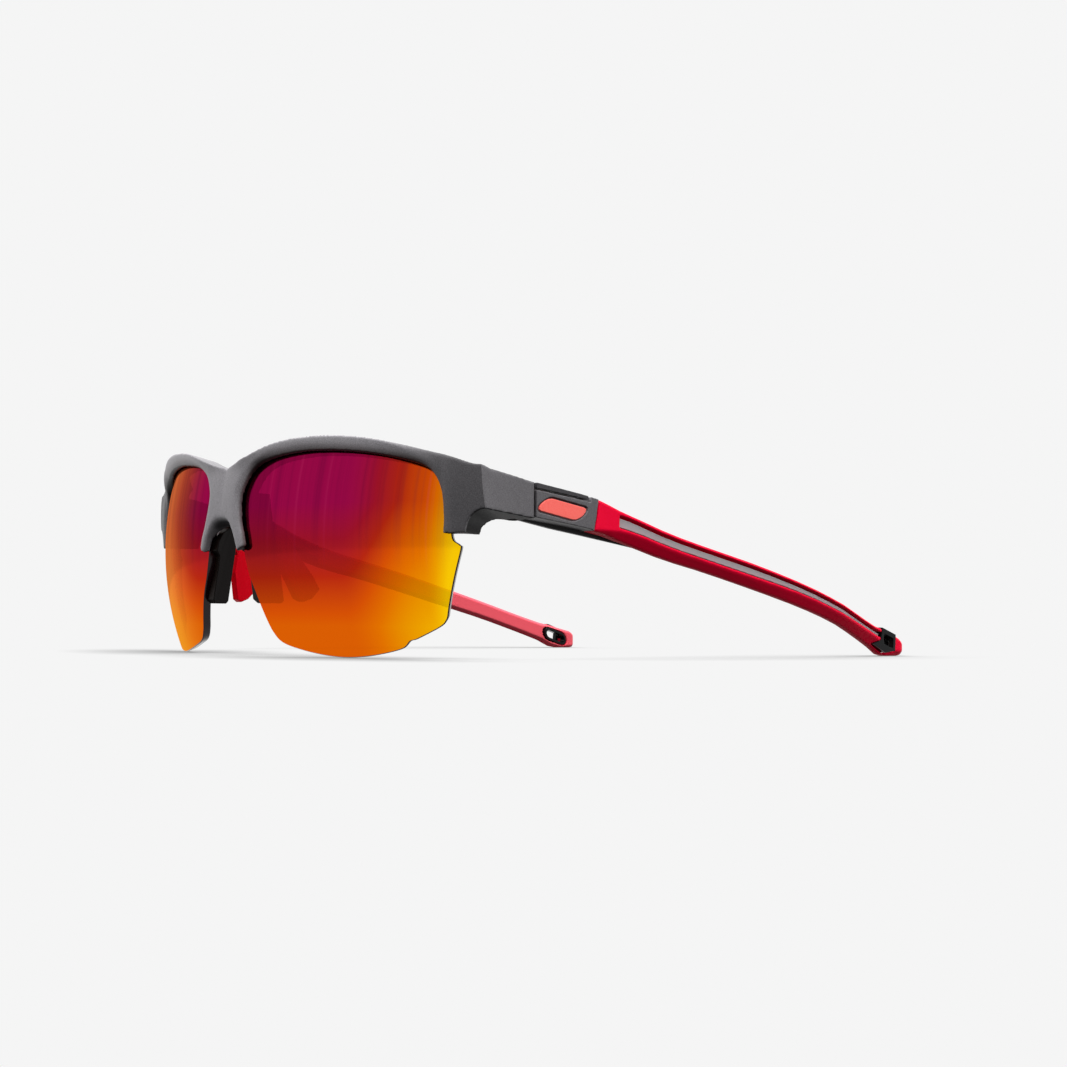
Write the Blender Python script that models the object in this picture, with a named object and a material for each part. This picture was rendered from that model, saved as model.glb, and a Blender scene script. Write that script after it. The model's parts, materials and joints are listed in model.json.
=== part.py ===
"""Wraparound sport sunglasses: half-rim front, two mirror lenses, adjustable nose pads and hinged temples.

Frame: +X is the wearer's left, -Y is the front, +Z is up, and Z = 0 is the table on which the open
glasses stand on the lens bottoms and the temple tips. The origin is the middle of the bounding box's
underside. Lengths below are in millimetres from a working origin near the brow, and mesh_object turns
them into metres from the real one.
"""

import math

import bmesh
import bpy

MM = 0.001
ROW_ORIGIN = (0.0, 79.5, 0.0)
SIDES = {"left": 1, "right": -1}
GAP = 0.3

# Lens: a piece of a spherical shell, one sphere for each eye.
LENS_RADIUS = 76.0
LENS_THICKNESS = 2.0
SPHERE_X, SPHERE_Y, SPHERE_Z = 9.6, 73.4, 26.8
LENS_MIDDLE = (35.0, 24.0)
LENS_OUTLINE = (
    (7.8, 23.6), (9.3, 18.6), (11.6, 14.0), (13.9, 8.6), (15.5, 5.4), (17.9, 3.1), (23.2, 1.6),
    (30.0, 0.4), (36.0, 0.0), (42.3, 0.6), (48.3, 2.1), (50.4, 3.8), (52.0, 4.4), (56.4, 6.9),
    (57.9, 8.5), (58.6, 10.6), (60.3, 17.0), (61.8, 23.4), (61.6, 24.5), (60.7, 25.4), (60.4, 26.8),
    (60.6, 28.2), (61.5, 29.6), (61.7, 32.0), (61.2, 36.0), (60.0, 39.6), (58.0, 42.1), (55.0, 43.7),
    (51.3, 44.6), (43.4, 46.3), (36.8, 47.0), (29.6, 47.3), (24.2, 47.1), (17.3, 46.2), (10.6, 44.6),
    (6.6, 41.4), (5.6, 37.6), (5.9, 34.0), (6.6, 30.8), (7.5, 28.0), (7.9, 25.6),
)
LENS_RINGS = 5

# Front frame: a curved plate between the lens opening and the outer edge, with a block at each end.
FRONT_PROUD = 2.0
FRONT_DEPTH = 5.5
# The nose prongs are thin at their ends and take on the full depth where they meet at the bridge.
PRONG_DEPTHS = (2.1, 2.1, 2.6, 3.6, 4.8)
# The arch under the bridge is rounded off towards the front, by a radius for each of its first six points.
ARCH_ROUNDING = (0.5, 1.0, 1.6, 2.3, 2.9, 3.1)
OPENING_EDGE = (
    (9.6, 25.1), (8.9, 27.6), (8.2, 29.3), (7.7, 30.8), (7.3, 32.4), (7.0, 33.8), (6.8, 35.6),
    (6.9, 37.6), (7.9, 39.9), (9.4, 41.9), (11.7, 43.5), (14.5, 44.5), (18.5, 45.3), (24.3, 45.9),
    (29.6, 46.1), (36.7, 45.8), (43.2, 45.1), (49.5, 43.9), (54.4, 42.6), (57.2, 41.2), (58.8, 39.3),
    (59.8, 36.8), (60.4, 33.6), (60.5, 30.5), (60.4, 25.5),
)
OUTER_EDGE = (
    (7.4, 23.9), (6.2, 26.7), (5.0, 28.4), (3.7, 29.6), (2.0, 30.2), (0.0, 30.3), (0.0, 34.0),
    (0.0, 38.0), (0.0, 41.0), (0.0, 43.1), (4.2, 44.3), (10.1, 45.9), (17.1, 47.8), (23.3, 48.7),
    (29.3, 49.0), (37.0, 48.9), (44.5, 48.0), (51.8, 46.3), (58.0, 44.4), (62.4, 43.0), (66.6, 41.8),
    (72.5, 40.4), (72.5, 35.0), (72.5, 30.5), (72.5, 25.0),
)
# Outboard of FLARE_X the front leaves the sphere and runs out straight to the corner, steeper lower down.
FLARE_X, FLARE_TOP_Z, FLARE_TOP_SLOPE, FLARE_TWIST = 60.0, 41.0, 0.242, 0.0204
END_PLAN = ((60.4, 18.6), (75.0, 22.5), (75.0, 33.0), (61.25, 33.0), (61.25, 28.0), (59.9, 23.5))
END_REAR_Y = 33.0
END_TOP_Z, END_TOP_Y, END_TOP_SLOPE = 41.1, 17.7, 0.176
# The corner's crease, at FLARE_TOP_Z, and how far outboard it leans for each millimetre further down.
CREASE = (68.9, 18.0)
CREASE_LEAN = 0.1
SIDE_REAR_X = 68.6
LUG_BOTTOM_Z = 27.0
# The underside of an end block is swept along ARCH_RUN, and ARCH_RUN is at right angles to ARCH_ACROSS.
ARCH_ACROSS = (0.851, 0.525)
ARCH_RUN = (-0.525, 0.851)
ARCH_START, ARCH_WIDTH = 64.2, 4.4
ARCH_HEIGHTS = ((-32.0, 6.2), (8.0, 1.8))

# Temple hinge: an upright screw through two ears of the frame and one knuckle of the temple.
PIVOT_X, PIVOT_Y = 63.3, 30.95
EAR_RADIUS = 2.12
KNUCKLE_RADIUS = 2.2
KNUCKLE_LOW, KNUCKLE_HIGH = 32.8, 36.2
HINGE_BORE_RADIUS = 1.0
SCREW_RADIUS, SCREW_LOW, SCREW_SEAT, SCREW_TOP = 0.7, 31.4, 37.8, 38.4
SCREW_HEAD_RADIUS = 1.25

# Temple, at stations along Y: the outer face's X, then the heights of the top, of the slot's two edges,
# of the outer lower edge and of the inner lower edge.
TEMPLE_STATIONS = (
    (33.5, 68.6, 38.4, 34.2, 33.0, 30.8, 30.8),
    (51.0, 69.3, 35.6, 32.9, 30.6, 28.5, 28.5),
    (57.0, 70.2, 33.4, 32.3, 29.3, 28.3, 26.8),
    (63.0, 71.2, 31.4, 30.5, 27.8, 27.0, 25.0),
    (71.0, 71.8, 28.9, 28.05, 25.5, 24.7, 22.8),
    (83.0, 72.1, 26.1, 25.3, 22.85, 22.1, 20.4),
    (97.5, 72.8, 22.9, 22.1, 19.65, 18.85, 17.1),
    (115.0, 73.3, 18.5, 17.75, 15.7, 14.95, 12.9),
    (131.0, 72.2, 14.0, 13.25, 11.4, 10.6, 8.7),
    (143.5, 69.8, 9.95, 9.15, 7.6, 6.6, 4.6),
    (150.0, 68.4, 7.95, 7.15, 5.6, 4.6, 2.3),
    (153.5, 67.9, 7.2, 6.1, 4.4, 2.8, 0.55),
    (156.8, 67.6, 6.3, 5.0, 3.2, 1.5, 0.0),
    (161.4, 67.4, 5.3, 3.4, 1.8, 0.9, 0.0),
    (163.6, 67.4, 4.9, 2.8, 1.4, 0.9, 0.0),
)
SLEEVE_THICKNESS = 4.4
SLEEVE_STATIONS_Y = (
    51.4, 54.0, 57.0, 60.0, 64.0, 69.0, 75.0, 82.0, 90.0, 98.0, 106.0, 114.0, 121.0, 127.0, 133.0,
    139.0, 145.0, 150.0, 154.0, 156.8, 159.2, 161.4,
)
# The joint between block and sleeve leans: it lies this much further forward at the bottom.
JOINT_LEAN = 1.3
# The sleeve's section, as (depth behind the outer face, height kind, height above that kind): first
# where it leaves the square block, then along the rounded middle of its run.
SQUARE_SECTION = (
    (0.5, "top", 0.0), (0.15, "top", -0.15), (0.0, "top", -0.5), (0.0, "ridge", 0.5),
    (0.15, "ridge", 0.15), (0.5, "low", 0.0), (1.5, "low", 0.0), (3.9, "low", 0.0),
    (4.4, "low", 0.5), (4.4, "top", -0.5), (3.9, "top", 0.0), (2.2, "top", 0.0),
)
ROUND_SECTION = (
    (0.9, "top", -0.02), (0.3, "top", -0.2), (0.0, "top", -0.55), (0.0, "ridge", 0.35),
    (0.3, "ridge", -0.15), (1.6, "low", 0.25), (2.1, "low", 0.0), (3.2, "low", 0.0),
    (4.4, "low", 0.85), (4.4, "top", -0.9), (3.5, "top", -0.15), (2.3, "top", 0.0),
)
ROUNDED_FROM, ROUNDED_TO, TIP_FROM, TIP_ROUNDING = (51.4, 62.0, 152.0, 0.5)
TIP_END = ((162.8, 0.45), (163.6, 1.3))
# Towards the very tip the outer half of the top falls away by this much.
TIP_SLANT, TIP_SLANT_FROM = 1.5, 156.8
SLOT_FRONT_Y, SLOT_REAR_Y = 56.8, 154.2
TRENCH_FRONT_Y, TRENCH_REAR_Y = 49.0, 153.4
SLOT_SKIN, SLOT_TRIM = 0.45, 0.06
TRENCH_DEPTH = 3.5
BAR_OUTER, BAR_INNER = 0.75, 2.2
BAR_SINK, BAR_TRIM = 0.6, 0.3
BAR_REAR_Y = 152.4
WIRE_OUTER, WIRE_INNER = 2.5, 3.3
WIRE_FRONT_Y, WIRE_REAR_Y = 95.0, 148.6

BLOCK_STATIONS_Y = (33.5, 39.0, 44.0, 48.9)
BLOCK_INNER_FRONT_X, BLOCK_INNER_REAR_X = 63.05, 64.9
BLOCK_REAR_Y = 51.1
STRIP_HEIGHT_FRONT, STRIP_HEIGHT_REAR = 1.5, 1.15
STRIP_REAR_Y = 48.6
COVER_STATIONS = (
    (33.8, 61.25, 62.75, 30.4, 32.4), (42.0, 62.15, 63.7, 28.9, 32.2), (50.0, 63.05, 64.5, 27.7, 31.2),
    (58.0, 64.2, 65.45, 26.4, 28.9), (66.5, 65.9, 66.75, 24.9, 26.2),
)
BADGE_MIDDLE = (40.8, 32.9)
BADGE_HALF_LENGTH, BADGE_HALF_HEIGHT = 5.9, 1.4
BADGE_SLOPE, BADGE_LEAN = -0.17, 1.6
BADGE_SINK, BADGE_RIM = 0.55, 0.35

TIP_BLOCK = ((153.5, 7.5), (159.1, 5.6), (158.8, 1.3), (154.9, 0.9), (149.6, 3.3), (152.8, 4.2))
TIP_BLOCK_INNER_X, TIP_BLOCK_OUTER_X = 64.8, 67.8
TIP_WINDOW = ((154.2, 5.9), (158.1, 4.6), (157.8, 2.0), (153.9, 3.3))
TIP_RING_MIDDLE = (155.2, 3.6)
TIP_RING_HALF_LENGTH, TIP_RING_HALF_HEIGHT, TIP_RING_SLOPE = 4.5, 1.9, -0.3
TIP_RING_WALL = 0.75
TIP_RING_INNER_X, TIP_RING_OUTER_X = 63.1, 65.2

# Nose piece: both legs and both pads lie on the surface that nose_surface_x gives.
NOSE_BOTTOM_Z = 12.0
LEG_HALF_THICKNESS, PAD_HALF_THICKNESS = 1.3, 1.15
LEG_SIDE = (
    (-0.6, 12.9), (0.2, 12.0), (4.2, 12.0), (4.8, 12.6), (4.8, 25.6), (4.4, 26.6), (4.4, 30.2), (4.4, 37.4),
    (2.6, 37.4), (1.6, 30.6), (1.3, 29.8), (-0.6, 28.6), (-1.8, 26.6), (-2.0, 24.4), (-0.8, 23.2),
    (-0.6, 21.0),
)
PAD_SIDE = (
    (5.7, 19.4), (7.9, 13.1), (9.2, 12.4), (11.4, 13.2), (13.5, 15.4), (12.4, 18.2), (10.4, 21.6),
    (7.9, 26.9), (6.4, 29.6), (5.7, 29.0), (5.7, 24.4),
)
SADDLE_LOW, SADDLE_HIGH, SADDLE_FRONT, SADDLE_REAR = 31.0, 37.6, 2.2, 4.7
SADDLE_HALF_WIDTH = 5.6
PEG_HALF_WIDTH, PEG_LOW, PEG_HIGH, PEG_FRONT = 1.4, 33.4, 35.8, -0.9
STEM_FRONT_Y, STEM_REAR_Y, STEM_Z = 3.0, 8.4, 24.0
STEM_RADIUS, STEM_BORE_RADIUS = 0.4, 0.62


# ---------------------------------------------------------------- mesh helpers


def clear_scene():
    for obj in list(bpy.data.objects):
        bpy.data.objects.remove(obj, do_unlink=True)


def material(name, colour, roughness, metallic=0.0, alpha=1.0):
    found = bpy.data.materials.get(name)
    if found:
        return found
    made = bpy.data.materials.new(name)
    made.use_nodes = True
    shader = made.node_tree.nodes["Principled BSDF"]
    shader.inputs["Base Color"].default_value = (*colour, 1.0)
    shader.inputs["Roughness"].default_value = roughness
    shader.inputs["Metallic"].default_value = metallic
    shader.inputs["Alpha"].default_value = alpha
    made.diffuse_color = (*colour, alpha)
    return made


def mesh_object(name, bm, surface=None, origin=(0.0, 0.0, 0.0)):
    """A new object from bm, whose points are in millimetres, with its own origin at the given point."""
    bmesh.ops.recalc_face_normals(bm, faces=bm.faces)
    for vert in bm.verts:
        vert.co = [(value - start) * MM for value, start in zip(vert.co, origin)]
    mesh = bpy.data.meshes.new(name)
    bm.to_mesh(mesh)
    bm.free()
    obj = bpy.data.objects.new(name, mesh)
    obj.location = [(start - row) * MM for start, row in zip(origin, ROW_ORIGIN)]
    bpy.context.scene.collection.objects.link(obj)
    if surface:
        mesh.materials.append(surface)
    return obj


def add_loft(bm, rings):
    """Skins the rings one to the next and closes both ends."""
    loops = [[bm.verts.new(point) for point in ring] for ring in rings]
    count = len(rings[0])
    for low, high in zip(loops, loops[1:]):
        for i in range(count):
            j = (i + 1) % count
            bm.faces.new((low[i], low[j], high[j], high[i]))
    bm.faces.new(loops[0])
    bm.faces.new(loops[-1])


def loft(rings, side=1):
    bm = bmesh.new()
    add_loft(bm, [[(side * x, y, z) for x, y, z in ring] for ring in rings])
    return bm


def circle(middle, radius, count=20, start=0.0, sweep=2 * math.pi):
    """Points on an arc, the last one left out on a full circle."""
    whole = abs(sweep) >= 2 * math.pi - 1e-9
    steps = count if whole else count - 1
    angles = [start + sweep * i / steps for i in range(count)]
    return [(middle[0] + radius * math.cos(a), middle[1] + radius * math.sin(a)) for a in angles]


def upright_prism(plan, low, high, side=1):
    """Extrudes a plan outline in X and Y from one height to another."""
    return loft([[(x, y, z) for x, y in plan] for z in (low, high)], side)


def side_prism(profile, inner_x, outer_x, side=1):
    """Extrudes a side outline in Y and Z across X."""
    return loft([[(x, y, z) for y, z in profile] for x in (inner_x, outer_x)], side)


def box_plan(x_low, x_high, y_low, y_high):
    return [(x_low, y_low), (x_high, y_low), (x_high, y_high), (x_low, y_high)]


def combine(obj, other, operation):
    """Applies one exact Boolean to obj and removes the other object."""
    modifier = obj.modifiers.new(operation.lower(), "BOOLEAN")
    modifier.operation = operation
    modifier.solver = "EXACT"
    modifier.object = other
    bpy.context.view_layer.update()
    evaluated = obj.evaluated_get(bpy.context.evaluated_depsgraph_get())
    result = bpy.data.meshes.new_from_object(evaluated)
    obj.modifiers.remove(modifier)
    old = obj.data
    obj.data = result
    result.name = obj.name
    bpy.data.meshes.remove(old)
    bpy.data.objects.remove(other, do_unlink=True)


def working_origin(obj):
    """An object's own origin, in the working millimetres that its shapes are written in."""
    return tuple(value / MM + row for value, row in zip(obj.location, ROW_ORIGIN))


def cut(obj, bm):
    combine(obj, mesh_object("cutter", bm, origin=working_origin(obj)), "DIFFERENCE")


def join(obj, bm):
    combine(obj, mesh_object("addition", bm, origin=working_origin(obj)), "UNION")


def smooth_value(at, knots):
    """A smooth curve through (position, value) knots, without overshoot."""
    knots = sorted(knots)
    if at <= knots[0][0]:
        return knots[0][1]
    if at >= knots[-1][0]:
        return knots[-1][1]
    slopes = [(b[1] - a[1]) / (b[0] - a[0]) for a, b in zip(knots, knots[1:])]
    tangents = [slopes[0]]
    for before, after in zip(slopes, slopes[1:]):
        same_way = before * after > 0
        tangents.append(2 * before * after / (before + after) if same_way else 0.0)
    tangents.append(slopes[-1])
    for i, (a, b) in enumerate(zip(knots, knots[1:])):
        if at <= b[0]:
            width = b[0] - a[0]
            t = (at - a[0]) / width
            return (
                (2 * t**3 - 3 * t**2 + 1) * a[1]
                + (t**3 - 2 * t**2 + t) * width * tangents[i]
                + (3 * t**2 - 2 * t**3) * b[1]
                + (t**3 - t**2) * width * tangents[i + 1]
            )
    return knots[-1][1]


# ---------------------------------------------------------------- lens and front frame


def sphere_point(x, z, radius):
    """The point in front view (x, z) on the lens sphere grown to radius; across the bridge it runs straight."""
    reach = max(x - SPHERE_X, 0.0)
    return (x, SPHERE_Y - math.sqrt(radius**2 - reach**2 - (z - SPHERE_Z) ** 2), z)


def front_point(x, z, radius):
    """The point on the frame's front face, which leaves the sphere at FLARE_X."""
    _, y, _ = sphere_point(min(x, FLARE_X), z, radius)
    slope = FLARE_TOP_SLOPE + FLARE_TWIST * (FLARE_TOP_Z - z)
    return (x, y + slope * max(x - FLARE_X, 0.0), z)


def inward(front, outer, inner):
    """A point of the outer radius carried towards the sphere's middle, down to the inner radius."""
    x = front[0]
    share = inner / outer
    middle_x = min(x, SPHERE_X)
    return (
        middle_x + (front[0] - middle_x) * share,
        SPHERE_Y + (front[1] - SPHERE_Y) * share,
        SPHERE_Z + (front[2] - SPHERE_Z) * share,
    )


def lens_solid(side, grow=0.0):
    """The lens shell, or one grown by a clearance on its edge and both faces."""
    bm = bmesh.new()
    outline = []
    for x, z in LENS_OUTLINE:
        dx, dz = x - LENS_MIDDLE[0], z - LENS_MIDDLE[1]
        share = 1 + grow / math.hypot(dx, dz)
        outline.append((LENS_MIDDLE[0] + dx * share, LENS_MIDDLE[1] + dz * share))
    outer, inner = LENS_RADIUS + grow, LENS_RADIUS - LENS_THICKNESS - grow
    skins = []
    for which in (outer, inner):
        rings = []
        for ring in range(1, LENS_RINGS + 1):
            share = (ring / LENS_RINGS) ** 0.8
            row = []
            for x, z in outline:
                px = LENS_MIDDLE[0] + (x - LENS_MIDDLE[0]) * share
                pz = LENS_MIDDLE[1] + (z - LENS_MIDDLE[1]) * share
                point = inward(sphere_point(px, pz, outer), outer, which)
                row.append(bm.verts.new((side * point[0], point[1], point[2])))
            rings.append(row)
        middle = inward(sphere_point(*LENS_MIDDLE, outer), outer, which)
        rings.insert(0, [bm.verts.new((side * middle[0], middle[1], middle[2]))])
        skins.append(rings)
    count = len(outline)
    for rings in skins:
        for i in range(count):
            j = (i + 1) % count
            bm.faces.new((rings[0][0], rings[1][i], rings[1][j]))
            for low, high in zip(rings[1:], rings[2:]):
                bm.faces.new((low[i], high[i], high[j], low[j]))
    for i in range(count):
        j = (i + 1) % count
        bm.faces.new((skins[0][-1][i], skins[0][-1][j], skins[1][-1][j], skins[1][-1][i]))
    return bm


def front_plate():
    """The curved plate of the whole front: bridge, nose prongs, brow bars and the outer corners."""
    bm = bmesh.new()
    outer = LENS_RADIUS + FRONT_PROUD
    depths = PRONG_DEPTHS + (FRONT_DEPTH,) * (len(OPENING_EDGE) - len(PRONG_DEPTHS))
    for side in SIDES.values():
        rungs = []
        for edge, rim, depth in zip(OPENING_EDGE, OUTER_EDGE, depths):
            inner = outer - depth
            near, far = front_point(*edge, outer), front_point(*rim, outer)
            points = (near, far, inward(far, outer, inner), inward(near, outer, inner))
            rungs.append([bm.verts.new((side * x, y, z)) for x, y, z in points])
        for low, high in zip(rungs, rungs[1:]):
            for i in range(4):
                j = (i + 1) % 4
                corners = (low[i], low[j], high[j], high[i])
                if any(abs(corner.co.x) > 1e-6 for corner in corners):
                    bm.faces.new(corners)
        bm.faces.new(rungs[0])
        bm.faces.new(rungs[-1])
    bmesh.ops.remove_doubles(bm, verts=bm.verts, dist=1e-4)
    return bm


def arch_rounding():
    """The cutter that rounds the lower front edge of the bridge and of the prongs' nose sides."""
    front_y = SPHERE_Y - LENS_RADIUS - FRONT_PROUD
    rings = []
    for side in (-1, 1):
        edges = list(zip(OUTER_EDGE, ARCH_ROUNDING))
        for (x, z), radius in edges if side == -1 else reversed(edges[:-1]):
            ring = [(side * x, front_y - 2.0, z - 3.0), (side * x, front_y - 2.0, z + radius)]
            for y, up in circle((front_y + radius, z + radius), radius, 6, math.pi, math.pi / 2):
                ring.append((side * x, y, up))
            ring.append((side * x, front_y + radius, z - 3.0))
            rings.append(ring)
    return loft(rings)


def end_top(y):
    return END_TOP_Z - END_TOP_SLOPE * (y - END_TOP_Y)


def end_block(side):
    low = [(x, y, LUG_BOTTOM_Z - 1.3) for x, y in END_PLAN]
    high = [(x, y, end_top(y)) for x, y in END_PLAN]
    return loft([low, high], side)


def end_underside(side):
    """The cutter under an end block: flat under the lug, a quarter arc, then nearly flat up to the hinge."""
    rings = []
    for run, height in ARCH_HEIGHTS:
        profile = [(50.0, LUG_BOTTOM_Z)]
        for along, up in circle((0.0, 0.0), 1.0, 8, math.pi, -math.pi / 2):
            profile.append((ARCH_START + (1 + along) * ARCH_WIDTH, LUG_BOTTOM_Z + up * height))
        profile += [(90.0, LUG_BOTTOM_Z + height), (90.0, 15.0), (50.0, 15.0)]
        ring = []
        for across, z in profile:
            x = across * ARCH_ACROSS[0] + run * ARCH_RUN[0]
            y = across * ARCH_ACROSS[1] + run * ARCH_RUN[1]
            ring.append((x, y, z))
        rings.append(ring)
    return loft(rings, side)


def end_side(side):
    """The cutter that gives an end block its flat outer face, which leans at the crease and is upright behind."""
    rings = []
    for z in (20.0, 27.0, 31.0, 35.0, 39.0, 43.0, 50.0):
        front_x = CREASE[0] + CREASE_LEAN * (FLARE_TOP_Z - z)
        middle = ((front_x + SIDE_REAR_X) / 2, (CREASE[1] + END_REAR_Y) / 2)
        plan = [(front_x, 5.0), (85.0, 5.0), (85.0, 45.0), (SIDE_REAR_X, 45.0), (SIDE_REAR_X, 32.8), middle]
        rings.append([(x, y, z) for x, y in [*plan, (front_x, CREASE[1])]])
    return loft(rings, side)


def hinge_cutters(side):
    """The slot for the knuckle, the rounding of the ears, the screw bore and the seat of its head."""
    slot = box_plan(50.0, PIVOT_X + KNUCKLE_RADIUS + 0.5, PIVOT_Y - KNUCKLE_RADIUS - 0.5, 45.0)
    yield upright_prism(slot, KNUCKLE_LOW - GAP, KNUCKLE_HIGH + GAP, side)
    arc = circle((PIVOT_X, PIVOT_Y), EAR_RADIUS, 7, math.pi, -math.pi / 2)
    corner = [(57.0, PIVOT_Y), *arc, (PIVOT_X, 38.0), (57.0, 38.0)]
    yield upright_prism(corner, 20.0, 50.0, side)
    yield upright_prism(circle((PIVOT_X, PIVOT_Y), HINGE_BORE_RADIUS), 25.0, 45.0, side)
    yield upright_prism(circle((PIVOT_X, PIVOT_Y), SCREW_HEAD_RADIUS + GAP), SCREW_SEAT - 0.05, 45.0, side)


def build_front_frame():
    grey = material("frame_grey", (0.10, 0.095, 0.10), 0.5, 0.2)
    frame = mesh_object("front_frame", front_plate(), grey)
    for side in SIDES.values():
        block = mesh_object("end_block", end_block(side))
        for cutter in hinge_cutters(side):
            cut(block, cutter)
        combine(frame, block, "UNION")
        for cutter in (end_side(side), end_underside(side), lens_solid(side, GAP)):
            cut(frame, cutter)
    cut(frame, arch_rounding())
    pocket = box_plan(-PEG_HALF_WIDTH - GAP, PEG_HALF_WIDTH + GAP, PEG_FRONT - GAP, 6.0)
    cut(frame, upright_prism(pocket, PEG_LOW - GAP, PEG_HIGH + GAP))
    return frame


def build_lens(name, side):
    return mesh_object(f"lens_{name}", lens_solid(side), material("lens_mirror", (0.75, 0.12, 0.05), 0.05, 0.6, 0.7))


# ---------------------------------------------------------------- nose piece


def nose_surface_x(y, z):
    """How far from the middle the legs and pads stand: they splay downwards and to the rear."""
    return 10.6 + 0.45 * y - 0.0105 * y**2 - 0.25 * (z - NOSE_BOTTOM_Z)


def nose_slab(profile, half_thickness, side):
    rings = []
    for offset in (-half_thickness, half_thickness):
        rings.append([(nose_surface_x(y, z) + offset, y, z) for y, z in profile])
    return loft(rings, side)


def stem_ring(y, radius, count=12):
    """A circle of the stem, in the plane across Y, on the stem's straight line."""
    x = nose_surface_x(STEM_FRONT_Y, STEM_Z) + (y - STEM_FRONT_Y) * stem_slope()
    return [(px, y, pz) for px, pz in circle((x, STEM_Z), radius, count)]


def stem_slope():
    rise = nose_surface_x(STEM_REAR_Y, STEM_Z) - nose_surface_x(STEM_FRONT_Y, STEM_Z)
    return rise / (STEM_REAR_Y - STEM_FRONT_Y)


def build_nose_saddle():
    black = material("nose_black", (0.012, 0.012, 0.013), 0.45)
    plan = box_plan(-SADDLE_HALF_WIDTH, SADDLE_HALF_WIDTH, SADDLE_FRONT, SADDLE_REAR)
    saddle = mesh_object("nose_saddle", upright_prism(plan, SADDLE_LOW, SADDLE_HIGH), black)
    peg = box_plan(-PEG_HALF_WIDTH, PEG_HALF_WIDTH, PEG_FRONT, SADDLE_FRONT + 0.8)
    join(saddle, upright_prism(peg, PEG_LOW, PEG_HIGH))
    for side in SIDES.values():
        join(saddle, nose_slab(LEG_SIDE, LEG_HALF_THICKNESS, side))
        bore = [stem_ring(y, STEM_BORE_RADIUS) for y in (STEM_FRONT_Y - 0.25, STEM_REAR_Y)]
        cut(saddle, loft(bore, side))
        cut(saddle, lens_solid(side, GAP))
    return saddle


def build_nose_pad(name, side):
    red = material("rubber_red", (0.72, 0.005, 0.02), 0.5)
    pad = mesh_object(f"nose_pad_{name}", nose_slab(PAD_SIDE, PAD_HALF_THICKNESS, side), red, pivot_of_stem(side))
    bore = [stem_ring(y, STEM_BORE_RADIUS) for y in (STEM_FRONT_Y, STEM_REAR_Y + 0.25)]
    cut(pad, loft(bore, side))
    return pad


def pivot_of_stem(side):
    middle_y = 5.4
    x = nose_surface_x(STEM_FRONT_Y, STEM_Z) + (middle_y - STEM_FRONT_Y) * stem_slope()
    return (side * x, middle_y, STEM_Z)


def build_nose_stem(name, side):
    steel = material("steel", (0.55, 0.55, 0.57), 0.3, 1.0)
    rings = [stem_ring(y, STEM_RADIUS) for y in (STEM_FRONT_Y, STEM_REAR_Y)]
    return mesh_object(f"nose_stem_{name}", loft(rings, side), steel, pivot_of_stem(side))


# ---------------------------------------------------------------- temples


def temple(y, what):
    """One measure of the temple at y: outer, top, slot_top, slot_low, ridge or low."""
    column = ("outer", "top", "slot_top", "slot_low", "ridge", "low").index(what) + 1
    return smooth_value(y, [(row[0], row[column]) for row in TEMPLE_STATIONS])


def hinge_origin(side):
    return (side * PIVOT_X, PIVOT_Y, (KNUCKLE_LOW + KNUCKLE_HIGH) / 2)


def sleeve_rounding(y):
    """0 where the sleeve is square, 1 where it has its full rounded section."""
    return smooth_value(y, [(ROUNDED_FROM, 0.0), (ROUNDED_TO, 1.0), (TIP_FROM, 1.0), (TIP_FROM + 5.0, TIP_ROUNDING)])


def sleeve_ring(y, shrink=0.0):
    """The sleeve's section at y; shrink draws it in from the sides and the top, for the end of the tip."""
    share = sleeve_rounding(y)
    middle = SLEEVE_THICKNESS / 2
    lean = JOINT_LEAN if y == SLEEVE_STATIONS_Y[0] else 0.0
    ring = []
    for square, rounded in zip(SQUARE_SECTION, ROUND_SECTION):
        depth = square[0] + (rounded[0] - square[0]) * share
        depth = middle + (depth - middle) * (1 - shrink / middle)
        rise = square[2] + (rounded[2] - square[2]) * share
        drop = shrink if square[1] == "top" else -0.3 * shrink
        if square[1] == "top":
            drop += tip_slant(y) * max(1 - depth / middle, 0.0)
        z = temple(y, square[1]) + rise - drop
        ring.append((temple(y, "outer") - depth, y - lean * joint_share(z), z))
    return ring


def tip_slant(y):
    return smooth_value(y, [(TIP_SLANT_FROM, 0.0), (TIP_END[1][0], TIP_SLANT)])


def joint_share(z):
    """How far down the joint between block and sleeve a height lies, from 0 to 1."""
    top, low = temple(SLEEVE_STATIONS_Y[0], "top"), temple(SLEEVE_STATIONS_Y[0], "low")
    return (top - z) / (top - low)


def channel_ring(y, outer_depth, inner_depth, trim):
    """A rectangle in the slot's height, between two depths behind the temple's outer face."""
    outer = temple(y, "outer")
    high, low = temple(y, "slot_top") - trim, temple(y, "slot_low") + trim
    return [
        (outer - outer_depth, y, low), (outer - outer_depth, y, high),
        (outer - inner_depth, y, high), (outer - inner_depth, y, low),
    ]


def stations_between(front, rear):
    middle = [y for y in SLEEVE_STATIONS_Y if front + 1.0 < y < rear - 1.0]
    return [front, *middle, rear]


def channel(front, rear, outer_depth, inner_depth, trim, side):
    rings = [channel_ring(y, outer_depth, inner_depth, trim) for y in stations_between(front, rear)]
    return loft(rings, side)


def stadium(middle, half_length, half_height, slope, lean=0.0, grow=0.0, count=7):
    """A long round-ended outline in Y and Z that follows a slope and may lean."""
    length, height = half_length + grow, half_height + grow
    points = []
    for end, start in ((1, -math.pi / 2), (-1, math.pi / 2)):
        centre = (end * (length - height), 0.0)
        for along, up in circle(centre, height, count, start, math.pi):
            y = middle[0] + along + lean * up / half_height
            points.append((y, middle[1] + up + slope * along))
    return points


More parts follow.
